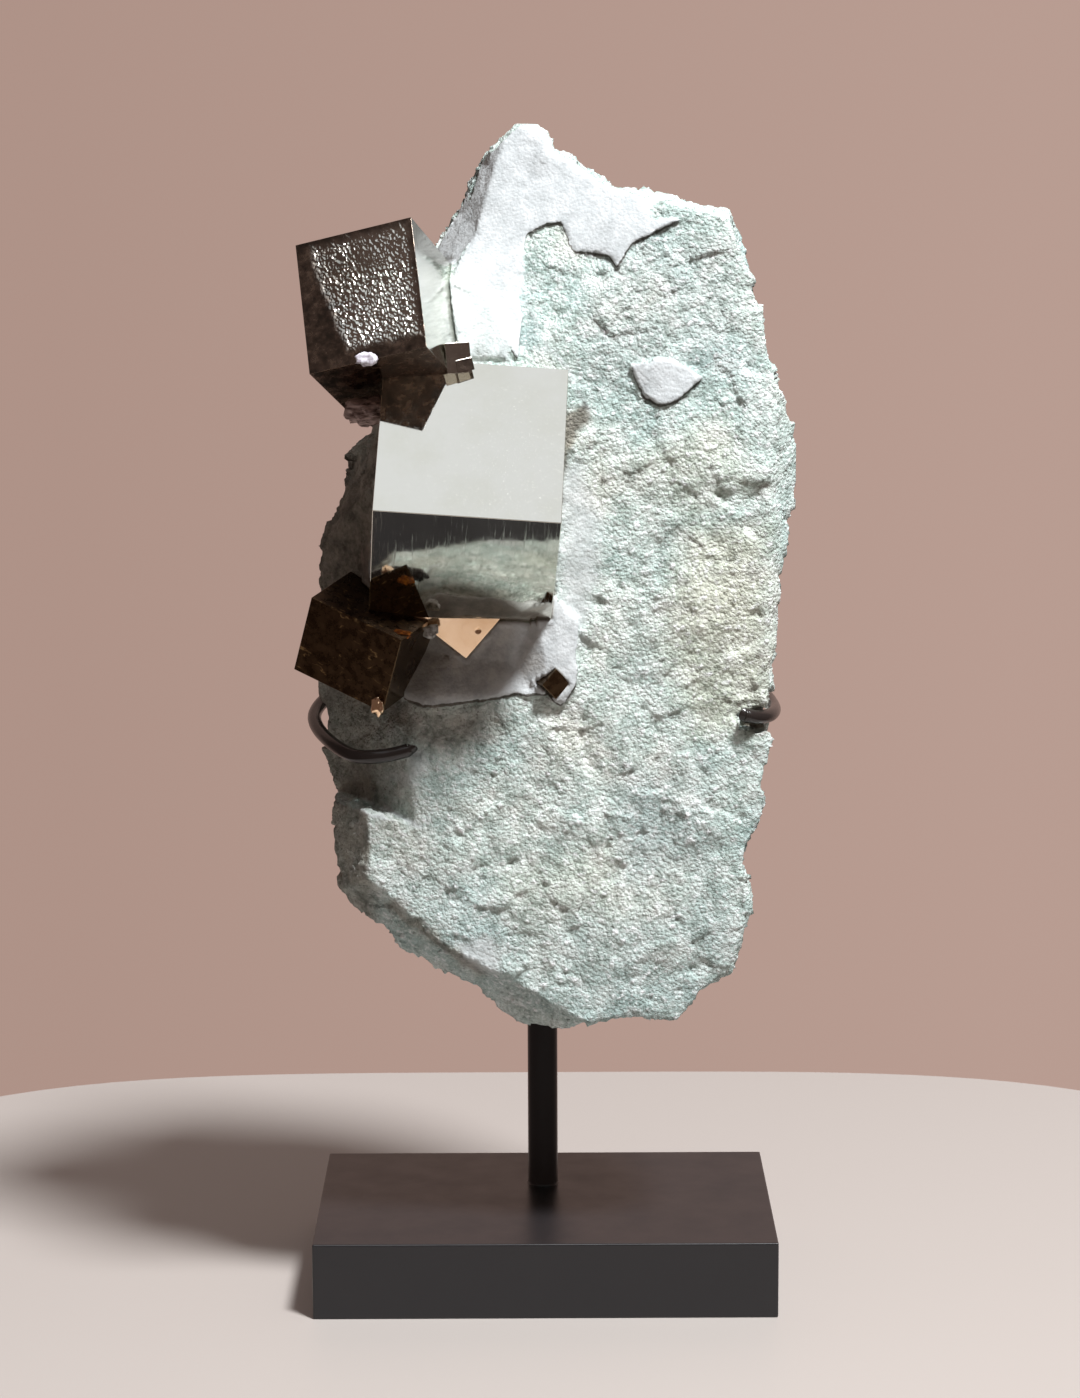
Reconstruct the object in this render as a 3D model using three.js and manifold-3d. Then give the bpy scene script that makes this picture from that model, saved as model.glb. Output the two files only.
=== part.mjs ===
// Mounted pyrite: cubes of pyrite in a slab of marl, held by two wire prongs on a rod and block.
// Millimetres, +Z up. The front, with the crystals, faces -Y. The origin is the middle of the
// base's underside.

import * as THREE from 'three';
import { mergeVertices } from 'three/addons/utils/BufferGeometryUtils.js';
import { TessellateModifier } from 'three/addons/modifiers/TessellateModifier.js';
import Module from 'manifold-3d';

const wasm = await Module();
wasm.setup();

// Driving dimensions of the stand
const BASE_WIDTH = 120;
const BASE_DEPTH = 80;
const BASE_HEIGHT = 20;
const BASE_ARRIS = 0.4;
const ROD_DIAMETER = 8;
const ROD_X = -0.5;
const ROD_Y = 13;
const ROD_TOP = 172;
const WIRE_DIAMETER = 3.5;
const GAP = 0.3;

// Driving dimensions of the slab
const SLAB_FRONT = -38;
const SLAB_BACK = 8.6;
const LAYER_THICKNESS = 1.3;
const ROCK_STEP = 10;

// Edge lengths of the crystals
const CENTRAL_SIZE = [45.4, 44.8, 46.2];
const UPPER_SIZE = [30.2, 34.5, 34.4];
const LOWER_LEFT_SIZE = [21.2, 26.2, 20];
const UNDER_SIZE = [17, 18, 12];
const TWIN_SIZE = [6.4, 7.5, 7];
const TWIN_STEP_SIZE = [4.4, 3.2, 3];
const SMALL_SIZE = [5.4, 5.4, 5.4];

// Outline of the slab seen from the front, as [x, z], clockwise from the peak
const SLAB_OUTLINE = [
  [-5, 302.6], [-1.6, 302], [1.2, 299.4], [1.4, 296.4], [8.6, 293.2], [18.3, 287.4],
  [23.8, 286.6], [28.6, 284], [34, 283.4], [45.6, 280.8], [48.2, 276.6], [50.4, 269.8], [53, 265.5],
  [53.6, 256.8], [56.6, 246], [60.3, 234.5], [62.4, 230], [63.4, 223.8], [63.1, 217.6],
  [61.2, 201.4], [60.5, 192.8], [59.2, 191.2], [58.4, 173.7], [57, 160], [56.8, 149], [54.6, 139.5],
  [55.6, 134.4], [53.9, 128.7], [50.8, 124.6], [49.4, 118.9], [50.8, 110], [49.4, 103], [46.7, 95],
  [45.3, 91.2], [39.1, 86], [37, 81.8], [34, 78], [23.3, 79.2], [9.6, 78.2],
  [5.5, 75], [-5.8, 75.6], [-11.2, 78], [-17, 85], [-20.6, 86], [-27, 88.6],
  [-37, 96.4], [-38.8, 101.4], [-49.8, 106.6], [-53, 111.4], [-51.4, 114.8], [-52.8, 124],
  [-54.2, 137], [-56.4, 152], [-57.2, 160], [-59.4, 173.4], [-58.5, 188], [-57.7, 197.6],
  [-54.2, 207.4], [-49.4, 219.6], [-44.2, 225.6], [-44, 230.5], [-52, 235], [-46, 246],
  [-36, 258], [-25.5, 272.6], [-21.8, 281], [-14.7, 294.4], [-9.9, 298.7],
];

// Part of the left edge that broke further back. It ends below in a narrow ledge.
const ABOVE_LEDGE = [[-80, 133.6], [-44.6, 133.2], [-31, 129], [-20, 126], [-20, 320], [-80, 320]];

// Under the largest cube the rock is hollowed until it is flush with the small crystal there. The
// hollow is what lies in front of all three walls: its back, its floor and its side at the right.
const HOLLOW_OUTLINE = [[-42, 158], [2, 158], [2, 186], [-42, 188]];
const HOLLOW_WALLS = [
  { at: [-19.3, -35.9, 171.8], facing: [-0.059, -0.979, -0.166], within: HOLLOW_OUTLINE },
  { at: [0, -39.3, 161.5], facing: [0, -0.95, 0.31], within: HOLLOW_OUTLINE },
  { at: [-1, -39.3, 175], facing: [-0.38, -0.92, 0], within: HOLLOW_OUTLINE },
];

// Planes along which the slab broke. Each has a point of the plane and the way it faces, and some
// an outline, seen from the front, that they stay within.
const BROKEN_FACES = [
  { name: 'leaning upper left front', at: [-5, -37, 243], facing: [-0.3, -1, 0.45] },
  { name: 'leaning upper right front', at: [20, -38, 225], facing: [0.03, -1, 0.12] },
  {
    name: 'left front, behind the cubes',
    at: [-37, -38, 200],
    facing: [-0.75, -0.62, -0.05],
    within: ABOVE_LEDGE,
  },
  { name: 'right front', at: [57, -37, 200], facing: [0.7, -0.7, 0] },
  { name: 'speckled upper left side', at: [-14, -14, 287], facing: [-0.86, -0.28, 0.42] },
  { name: 'left edge below the ledge', at: [-44.5, -38, 122], facing: [-0.8, -0.6, 0.02] },
  { name: 'lower left front', at: [-44, -38, 115.4], facing: [-0.51, -0.65, -0.55] },
  { name: 'striated bottom facet', at: [-6, -38, 87.6], facing: [-0.38, -0.62, -0.68] },
  { name: 'upper back', at: [0, 7, 250], facing: [0.05, 1, 0.16] },
  { name: 'left back', at: [-40, 7, 180], facing: [-0.7, 0.72, 0.05] },
  { name: 'right back', at: [44, 7, 180], facing: [0.72, 0.7, 0.08] },
  { name: 'lower back', at: [0, 7, 108], facing: [0.05, 0.8, -0.6] },
  { name: 'lower right back', at: [38, 7, 110], facing: [0.6, 0.62, -0.5] },
  { name: 'lower left back', at: [-32, 7, 122], facing: [-0.5, 0.65, -0.55] },
];

// Thin layers that still lie on the front, as [x, z]: the white one along the top, the one under
// the central crystal and the loose white chip
const LAYER_OUTLINES = [
  [
    [-30, 268], [-15, 262], [-6, 247], [-4.5, 257], [-6, 264], [-4.6, 272], [-3.5, 277],
    [1, 279.5], [5, 280], [8.5, 273], [16.6, 272], [18.6, 269.5], [22.5, 275], [34.5, 280.6],
    [27, 281], [24, 290], [-5, 312],
  ],
  [
    [-46, 163], [-30, 160.3], [-22, 161], [-16, 161.5], [-6, 163.5], [1, 163.5], [4.5, 160.5],
    [8, 166], [9, 182], [-10, 200], [-46, 200],
  ],
  [[22.3, 244.7], [30, 246.7], [36.3, 244.2], [39.9, 242], [33.6, 236.6], [28.9, 235.4], [24.9, 237.8]],
];

// Route of each prong's wire, from its weld on the rod round the slab to its tip
const LEFT_PRONG_ROUTE = [
  [-4, 12, 165], [-16, 10.6, 164], [-32, 10.6, 161.5], [-46, 8.5, 158.8], [-55, 2, 156.4],
  [-58.9, -8, 153.6], [-58, -18, 151.3], [-53.5, -29, 149], [-48, -36.6, 147.4],
  [-43, -39.6, 147.5], [-38, -40.2, 148.2], [-32.5, -40.2, 149.6],
];
const RIGHT_PRONG_ROUTE = [
  [3, 12, 160], [16, 10.6, 159], [32, 10.6, 158], [45, 9, 157.4], [54, 4.5, 157],
  [57.6, -4, 156.7], [58.8, -14, 156.3], [58.8, -24, 156.2], [57, -32.5, 156.4],
  [53.6, -38, 157], [50, -40.2, 157.9],
];

// Seat filed in the front for the right prong, from its lowest to its highest corner
const FILED_SEAT = [[48.8, -60, 153.2], [80, -34.4, 157.6]];

// Finishes
const blackPaint = new THREE.MeshStandardMaterial({ color: 0x17161a, roughness: 0.42, metalness: 0 });
const blackWire = new THREE.MeshStandardMaterial({ color: 0x1c1613, roughness: 0.35, metalness: 0 });
const marl = new THREE.MeshStandardMaterial({ color: 0xa9b1a9, roughness: 0.95, metalness: 0 });
const pyrite = new THREE.MeshStandardMaterial({ color: 0xcfc6a8, roughness: 0.15, metalness: 1 });

// A closed mesh as a solid for cuts and joins
function toSolid(geometry, placement = new THREE.Matrix4()) {
  const bare = geometry.clone().applyMatrix4(placement);
  bare.deleteAttribute('normal');
  bare.deleteAttribute('uv');
  const merged = mergeVertices(bare, 1e-4);
  const vertProperties = new Float32Array(merged.attributes.position.array);
  const triVerts = new Uint32Array(merged.index.array);
  return new wasm.Manifold(new wasm.Mesh({ numProp: 3, vertProperties, triVerts }));
}

// A solid as a mesh
function toGeometry(solid) {
  const mesh = solid.getMesh();
  const geometry = new THREE.BufferGeometry();
  geometry.setAttribute('position', new THREE.BufferAttribute(new Float32Array(mesh.vertProperties), 3));
  geometry.setIndex(new THREE.BufferAttribute(new Uint32Array(mesh.triVerts), 1));
  geometry.computeVertexNormals();
  return geometry;
}

// Numbers from -1 to 1 that vary smoothly over a distance of one, the same at every run
function cornerValue(x, y, z) {
  const wave = Math.sin(x * 127.1 + y * 311.7 + z * 74.7) * 43758.5453;
  return 2 * (wave - Math.floor(wave)) - 1;
}

function smoothNoise(x, y, z) {
  const [i, j, k] = [x, y, z].map(Math.floor);
  const [u, v, w] = [x - i, y - j, z - k].map((t) => t * t * (3 - 2 * t));
  const { lerp } = THREE.MathUtils;
  const along = (b, c) => lerp(cornerValue(i, j + b, k + c), cornerValue(i + 1, j + b, k + c), u);
  const across = (c) => lerp(along(0, c), along(1, c), v);
  return lerp(across(0), across(1), w);
}

// A crystal's placement: its nearest corner, and the ways its first two edges run from there.
// The third edge is square to both and points into the slab.
function crystalPlacement(corner, firstEdge, secondEdge, size) {
  const first = new THREE.Vector3(...firstEdge).normalize();
  const third = first.clone().cross(new THREE.Vector3(...secondEdge)).normalize();
  const second = third.clone().cross(first);
  const placement = new THREE.Matrix4().makeBasis(first, second, third);
  const middle = new THREE.Vector3(...corner)
    .addScaledVector(first, size[0] / 2)
    .addScaledVector(second, size[1] / 2)
    .addScaledVector(third, size[2] / 2);
  return placement.setPosition(middle);
}

// A crystal grown by a margin on every side, so that its socket can be cut with the same numbers
function crystal({ corner, firstEdge, secondEdge, size }, margin = 0) {
  const grown = size.map((edge) => edge + 2 * margin);
  return toSolid(new THREE.BoxGeometry(...grown), crystalPlacement(corner, firstEdge, secondEdge, size));
}

const CENTRAL = {
  corner: [-40.7, -71, 213.4],
  firstEdge: [0.997, 0.015, -0.073],
  secondEdge: [-0.06, 0.742, -0.668],
  size: CENTRAL_SIZE,
};
const UPPER = {
  corner: [-27.7, -58.7, 251.5],
  firstEdge: [-0.951, 0.206, -0.232],
  secondEdge: [-0.116, 0.459, 0.881],
  size: UPPER_SIZE,
};
const LOWER_LEFT = {
  corner: [-34.9, -50, 178.6],
  firstEdge: [-0.243, 0.34, -0.909],
  secondEdge: [-0.862, 0.354, 0.363],
  size: LOWER_LEFT_SIZE,
};
const UNDER = {
  corner: [-19.3, -36.2, 171.8],
  firstEdge: [-0.77, -0.06, 0.63],
  secondEdge: [0.71, -0.16, 0.69],
  size: UNDER_SIZE,
};
const TWIN = {
  corner: [-23.7, -44.5, 251.3],
  firstEdge: [0.93, 0.34, 0.03],
  secondEdge: [0.18, -0.1, -0.97],
  size: TWIN_SIZE,
};
const TWIN_STEP = {
  corner: [-21.2, -44.5, 247],
  firstEdge: [0.93, 0.34, 0.2],
  secondEdge: [0.18, -0.1, -0.97],
  size: TWIN_STEP_SIZE,
};
const SMALL = {
  corner: [-0.2, -42.4, 166],
  firstEdge: [0.66, 0.26, 0.7],
  secondEdge: [0.62, 0.3, -0.72],
  size: SMALL_SIZE,
};
const CLUSTER = [CENTRAL, UPPER, UNDER, TWIN, TWIN_STEP];
const ALL_CRYSTALS = [...CLUSTER, LOWER_LEFT, SMALL];

function join(solids) {
  return solids.reduce((whole, solid) => whole.add(solid));
}

// Round bar along a route
function wire(route, diameter) {
  const halfSides = 6;
  const steps = 36;
  const section = new THREE.Shape();
  section.absarc(0, 0, diameter / 2, 0, 2 * Math.PI, false);
  const curve = new THREE.CatmullRomCurve3(route.map((point) => new THREE.Vector3(...point)));
  return new THREE.ExtrudeGeometry(section, { steps, extrudePath: curve, curveSegments: halfSides });
}

function rodGeometry(diameter, bottom, top) {
  const sides = 40;
  const geometry = new THREE.CylinderGeometry(diameter / 2, diameter / 2, top - bottom, sides);
  return geometry.rotateX(Math.PI / 2).translate(ROD_X, ROD_Y, (bottom + top) / 2);
}

// Block with a fine arris all round
function baseGeometry() {
  const halfWidth = BASE_WIDTH / 2 - BASE_ARRIS;
  const halfDepth = BASE_DEPTH / 2 - BASE_ARRIS;
  const plan = new THREE.Shape([
    new THREE.Vector2(-halfWidth, -halfDepth),
    new THREE.Vector2(halfWidth, -halfDepth),
    new THREE.Vector2(halfWidth, halfDepth),
    new THREE.Vector2(-halfWidth, halfDepth),
  ]);
  const geometry = new THREE.ExtrudeGeometry(plan, {
    depth: BASE_HEIGHT - 2 * BASE_ARRIS,
    bevelSize: BASE_ARRIS,
    bevelThickness: BASE_ARRIS,
    bevelSegments: 1,
  });
  return geometry.translate(0, 0, BASE_ARRIS);
}

// Large block whose underside lies on a plane, to take away what stands proud of the plane
function beyondPlane({ at, facing, within }) {
  const reach = 400;
  const up = new THREE.Vector3(0, 0, 1);
  const turn = new THREE.Quaternion().setFromUnitVectors(up, new THREE.Vector3(...facing).normalize());
  const placement = new THREE.Matrix4().makeRotationFromQuaternion(turn).setPosition(...at);
  const block = toSolid(new THREE.BoxGeometry(reach, reach, reach).translate(0, 0, reach / 2), placement);
  return within ? block.intersect(toSolid(sheet(within, 2 * SLAB_FRONT, -SLAB_FRONT))) : block;
}

// Block between two corners
function blockBetween([low, high]) {
  const [from, to] = [low, high].map((corner) => new THREE.Vector3(...corner));
  const size = to.clone().sub(from);
  const middle = from.clone().add(to).divideScalar(2);
  return toSolid(new THREE.BoxGeometry(size.x, size.y, size.z).translate(middle.x, middle.y, middle.z));
}

// An outline seen from the front, pushed from one depth to another
function sheet(outline, front, back) {
  const shape = new THREE.Shape(outline.map(([x, z]) => new THREE.Vector2(x, z)));
  const geometry = new THREE.ExtrudeGeometry(shape, { depth: back - front, bevelEnabled: false });
  return geometry.rotateX(Math.PI / 2).translate(0, back, 0);
}

// The slab as it broke: the outline pushed through its thickness, then the broken faces, then
// the layers, which are the slab's own front moved forward inside their outlines
function roughSlab() {
  const block = toSolid(sheet(SLAB_OUTLINE, SLAB_FRONT, SLAB_BACK));
  const slab = BROKEN_FACES.reduce((left, face) => left.subtract(beyondPlane(face)), block);
  const forward = new THREE.Matrix4().makeTranslation(0, -LAYER_THICKNESS, 0);
  const moved = toSolid(toGeometry(slab), forward);
  const layers = LAYER_OUTLINES
    .map((outline) => moved.intersect(toSolid(sheet(outline, 2 * SLAB_FRONT, 0))));
  return join([slab, ...layers]);
}

// Lumps of two sizes, stronger on the rough sides than on the flatter front
function weather(geometry) {
  const lumps = [{ width: 23, height: 2 }, { width: 10, height: 1.2 }];
  const sideShare = 0.9;
  const frontShare = 0.55;
  const place = new THREE.Vector3();
  const normal = new THREE.Vector3();
  const positions = geometry.attributes.position;
  const normals = geometry.attributes.normal;
  for (let i = 0; i < positions.count; i += 1) {
    place.fromBufferAttribute(positions, i);
    normal.fromBufferAttribute(normals, i);
    const share = THREE.MathUtils.lerp(sideShare, frontShare, Math.max(0, -normal.y));
    const rise = lumps.reduce((sum, { width, height }) => (
      sum + height * smoothNoise(place.x / width, place.y / width, place.z / width)), 0);
    place.addScaledVector(normal, share * rise);
    positions.setXYZ(i, place.x, place.y, place.z);
  }
}

// The slab without any crumb that a socket cuts loose
function largestBody(solid) {
  return solid.decompose().reduce((best, body) => (body.volume() > best.volume() ? body : best));
}

function slabGeometry() {
  const fine = new TessellateModifier(ROCK_STEP, 30).modify(toGeometry(roughSlab()));
  fine.deleteAttribute('normal');
  const rock = mergeVertices(fine, 1e-3);
  rock.computeVertexNormals();
  weather(rock);
  const sockets = ALL_CRYSTALS.map((each) => crystal(each, GAP));
  const notches = [LEFT_PRONG_ROUTE, RIGHT_PRONG_ROUTE]
    .map((route) => toSolid(wire(route, WIRE_DIAMETER + 2 * GAP)));
  const channel = toSolid(rodGeometry(ROD_DIAMETER + 2 * GAP, BASE_HEIGHT, ROD_TOP + 2));
  const hollow = HOLLOW_WALLS.map(beyondPlane).reduce((both, wall) => both.intersect(wall));
  const filed = blockBetween(FILED_SEAT);
  const cut = toSolid(rock).subtract(join([...sockets, ...notches, channel, filed, hollow]));
  return toGeometry(largestBody(cut));
}

function prongGeometry(route) {
  const clearRod = toSolid(rodGeometry(ROD_DIAMETER + 2 * GAP, BASE_HEIGHT, ROD_TOP + 2));
  return toGeometry(toSolid(wire(route, WIRE_DIAMETER)).subtract(clearRod));
}

// The crystals that grew into each other, clear of the one that only stands beside them
function clusterGeometry() {
  const cluster = join(CLUSTER.map((each) => crystal(each)));
  return toGeometry(cluster.subtract(crystal(LOWER_LEFT, GAP)));
}

const group = new THREE.Group();

function addPiece(name, geometry, material) {
  const mesh = new THREE.Mesh(geometry, material);
  mesh.name = name;
  group.add(mesh);
}

addPiece('base', baseGeometry(), blackPaint);
addPiece('rod', rodGeometry(ROD_DIAMETER, BASE_HEIGHT + GAP, ROD_TOP), blackPaint);
addPiece('left_prong', prongGeometry(LEFT_PRONG_ROUTE), blackWire);
addPiece('right_prong', prongGeometry(RIGHT_PRONG_ROUTE), blackWire);
addPiece('matrix', slabGeometry(), marl);
addPiece('pyrite_cluster', clusterGeometry(), pyrite);
addPiece('pyrite_lower_left', toGeometry(crystal(LOWER_LEFT)), pyrite);
addPiece('pyrite_small', toGeometry(crystal(SMALL)), pyrite);

export default group;
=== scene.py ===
# %% [markdown]
# Mounted pyrite
#
# Three cubes of pyrite, a few small ones and the slab of marl that they grew in stand on a black
# display stand: a block, a rod and two bent wire prongs. The stand and the crystals are crisp and
# smooth, and the rock is rough everywhere, so they need different ways of making. This lesson
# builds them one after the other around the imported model, which gives every place and size.

# %% Load the frame
import math

import bmesh
import bpy
import numpy as np
from mathutils import Matrix, Vector, bvhtree, noise


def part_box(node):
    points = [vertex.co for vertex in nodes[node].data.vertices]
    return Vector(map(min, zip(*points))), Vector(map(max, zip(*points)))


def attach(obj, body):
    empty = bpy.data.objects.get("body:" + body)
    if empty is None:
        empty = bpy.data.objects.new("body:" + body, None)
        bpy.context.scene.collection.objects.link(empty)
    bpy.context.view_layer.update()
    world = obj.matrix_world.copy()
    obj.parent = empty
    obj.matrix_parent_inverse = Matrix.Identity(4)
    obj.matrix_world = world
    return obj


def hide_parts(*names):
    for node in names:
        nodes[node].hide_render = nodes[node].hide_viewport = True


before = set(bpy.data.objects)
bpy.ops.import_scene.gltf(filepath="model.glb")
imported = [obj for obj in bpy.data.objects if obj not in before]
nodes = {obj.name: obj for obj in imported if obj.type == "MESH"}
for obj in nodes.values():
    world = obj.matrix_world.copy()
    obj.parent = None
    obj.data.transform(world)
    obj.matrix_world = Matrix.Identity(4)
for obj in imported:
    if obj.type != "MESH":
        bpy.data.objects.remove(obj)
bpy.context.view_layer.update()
print("nodes:", sorted(nodes))

# %% [markdown]
# Vector noise starts from the clock unless it is given a seed. It gets one, so that every run
# makes the same pits and the same rock.

# %% Seed
NOISE_SEED = 4
noise.seed_set(NOISE_SEED)
print("noise starts from", NOISE_SEED)

# %% [markdown]
# Lengths are thought of in millimetres, as on a drawing, and Blender works in metres, so one
# number turns the first into the second. Colours are picked as sRGB hex values, which one
# function turns to the linear values that a shader wants.

# %% Units and colours
MM = 0.001


def linear(hex_colour):
    """An sRGB hex colour such as "#8899aa" as linear RGBA."""
    parts = [int(hex_colour[i:i + 2], 16) / 255 for i in (1, 3, 5)]
    return tuple(p / 12.92 if p <= 0.04045 else ((p + 0.055) / 1.055) ** 2.4 for p in parts) + (1.0,)


def point(*millimetres):
    """A place in millimetres as a vector in metres."""
    return Vector(millimetres) * MM


print("mid grey is", [round(c, 3) for c in linear("#808080")])

# %% [markdown]
# The camera stands about 0.92 m in front of the stand, at the height of the crystals, and looks
# down by just under ten degrees, as a photographer would who wants to see the top of the block.
# A long lens keeps the block's sides nearly parallel.

# %% Camera
CAMERA_PLACE = point(-0.78, -920.97, 314.72)
CAMERA_PITCH = math.radians(9.828)
CAMERA_ROLL = math.radians(-0.243)
CAMERA_LENS = 92.08

camera_data = bpy.data.cameras.new("camera")
camera_data.lens = CAMERA_LENS
camera_data.sensor_width = 36
camera = bpy.data.objects.new("camera", camera_data)
look_down = Matrix.Rotation(math.pi / 2 - CAMERA_PITCH, 4, "X")
camera.matrix_world = Matrix.Translation(CAMERA_PLACE) @ look_down @ Matrix.Rotation(CAMERA_ROLL, 4, "Z")
bpy.context.collection.objects.link(camera)
bpy.context.scene.camera = camera
print("camera at", tuple(round(c, 3) for c in camera.location))

# %% [markdown]
# Every material is a small graph of nodes. One function adds a node, sets its values and joins
# its inputs, so a graph reads as a list of steps. An input is named, and its value is a number,
# a colour or the output of a node that was added before. The others are short names for the
# steps that come up again and again: a texture in millimetres, a sum, a stretch of a range of
# values to another range, a colour ramp, and one layer of colour laid over another.

# %% Node helpers
def add_node(tree, kind, settings=None, **inputs):
    """Adds a node. settings are its own properties, inputs its sockets by name."""
    node = tree.nodes.new(kind)
    for name, value in (settings or {}).items():
        setattr(node, name, value)
    for name, value in inputs.items():
        wanted = name.replace("_", " ")
        socket = next(s for s in node.inputs if s.name.lower() == wanted.lower() and s.enabled)
        plug(tree, value, socket)
    return node


def plug(tree, value, socket):
    """Joins an output to a socket, or sets the socket to a constant."""
    if isinstance(value, bpy.types.NodeSocket):
        tree.links.new(value, socket)
    else:
        socket.default_value = value


def new_material(name):
    """A material with an empty Principled surface: returns it, its tree and that node."""
    material = bpy.data.materials.new(name)
    material.use_nodes = True
    tree = material.node_tree
    return material, tree, tree.nodes["Principled BSDF"]


def place_in_mm(tree):
    """The place on the object in millimetres, so that pattern scales are real sizes."""
    coordinates = add_node(tree, "ShaderNodeTexCoord")
    scaled = add_node(tree, "ShaderNodeVectorMath", {"operation": "SCALE"},
                      Vector=coordinates.outputs["Object"], Scale=1 / MM)
    return scaled.outputs["Vector"]


def mark(tree, name):
    """A number that was stored on the mesh under a name."""
    return add_node(tree, "ShaderNodeAttribute", {"attribute_name": name}).outputs["Fac"]


def cloud(tree, place, width, detail=4.0, roughness=0.6, stretch=(1, 1, 1)):
    """Noise from 0 to 1 whose lumps are about width millimetres wide."""
    if stretch != (1, 1, 1):
        place = add_node(tree, "ShaderNodeMapping", Vector=place, Scale=stretch).outputs["Vector"]
    node = add_node(tree, "ShaderNodeTexNoise", Vector=place, Scale=1 / width, Detail=detail,
                    Roughness=roughness)
    return node.outputs["Fac"]


def maths(tree, operation, *values):
    node = tree.nodes.new("ShaderNodeMath")
    node.operation = operation
    for value, socket in zip(values, node.inputs):
        plug(tree, value, socket)
    return node.outputs["Value"]


def spread(tree, value, low, high, to_low=0.0, to_high=1.0):
    """Stretches the range low to high to the range to_low to to_high, and stops at its ends."""
    node = add_node(tree, "ShaderNodeMapRange", Value=value, From_Min=low, From_Max=high,
                    To_Min=to_low, To_Max=to_high)
    return node.outputs["Result"]


def ramp(tree, factor, stops):
    """A colour ramp: stops are (position, hex colour)."""
    node = add_node(tree, "ShaderNodeValToRGB", Fac=factor)
    elements = node.color_ramp.elements
    while len(elements) < len(stops):
        elements.new(0.5)
    for element, (position, colour) in zip(elements, stops):
        element.position = position
        element.color = linear(colour)
    return node.outputs["Color"]


def layer(tree, below, above, amount, blend="MIX"):
    """Lays a colour over another one. A colour is a hex string or an output."""
    node = add_node(tree, "ShaderNodeMix", {"data_type": "RGBA", "blend_type": blend}, Factor=amount)
    ends = {s.name: s for s in node.inputs if s.type == "RGBA"}
    for name, colour in (("A", below), ("B", above)):
        plug(tree, linear(colour) if isinstance(colour, str) else colour, ends[name])
    return next(s for s in node.outputs if s.type == "RGBA")


print("node helpers are ready")

# %% [markdown]
# The stand is steel with a satin black paint. Sprayed paint has a faint orange peel of about a
# millimetre, and it gathers a little dust on top, which shows as uneven gloss. The paint is a
# dielectric, so its IOR stays near 1.5 and it isn't metallic.

# %% Satin black paint
def satin_black_paint(name, colour, gloss_low, gloss_high, peel_width):
    material, tree, surface = new_material(name)
    place = place_in_mm(tree)
    gloss = spread(tree, cloud(tree, place, 14), 0.3, 0.7, gloss_low, gloss_high)
    peel = cloud(tree, place, peel_width, detail=2.0)
    bump = add_node(tree, "ShaderNodeBump", Height=peel, Strength=0.06, Distance=0.1 * MM)
    surface.inputs["Base Color"].default_value = linear(colour)
    surface.inputs["IOR"].default_value = 1.5
    plug(tree, gloss, surface.inputs["Roughness"])
    plug(tree, bump.outputs["Normal"], surface.inputs["Normal"])
    return material


block_paint = satin_black_paint("satin_black_paint", "#1b1a1c", 0.30, 0.40, 0.9)
wire_paint = satin_black_paint("blackened_steel_wire", "#241f1d", 0.18, 0.30, 1.2)
print("made", block_paint.name, "and", wire_paint.name)

# %% [markdown]
# A piece that is made here gets three things: a place in the scene, a material and the body that
# it moves with, and the imported nodes that it replaces are hidden. One function does all of it.

# %% Putting a finished piece in place
def finish_piece(name, mesh, material, replaced=()):
    piece = bpy.data.objects.new(name, mesh)
    bpy.context.collection.objects.link(piece)
    mesh.materials.clear()
    mesh.materials.append(material)
    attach(piece, "root")
    if replaced:
        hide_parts(*replaced)
    print(f"{name}: {len(mesh.polygons)} faces")
    return piece


def mesh_from(builder, name):
    """Turns a mesh builder in metres to a smooth mesh and frees it."""
    mesh = bpy.data.meshes.new(name)
    builder.to_mesh(mesh)
    builder.free()
    mesh.shade_smooth()
    return mesh


# %% [markdown]
# The block is milled bar, so its faces are flat and its edges are broken by a hair. A box whose
# outer rows of vertices are pulled onto a small radius gives that edge exactly: each vertex
# is first held inside a smaller box, then pushed out from it by the radius. The crystals are
# made the same way. For them, a function may raise or sink a face, and another one marks where
# a face is tarnished; on two crystals that mark also carries painted shade and painted highlight.
# Each vertex also remembers its place on the unturned box, because a crystal's fine lines follow
# its own edges.

# %% Rounded boxes
def axis_stops(half, radius, step):
    """Places of the vertices along one axis, close together at the rounded ends."""
    inner = half - radius * 1.3
    count = max(1, round(2 * inner / step))
    middle = np.linspace(-inner, inner, count + 1)
    ends = np.array([half, half - 0.3 * radius, half - radius])
    return np.concatenate([-ends, middle, ends[::-1]])


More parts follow.
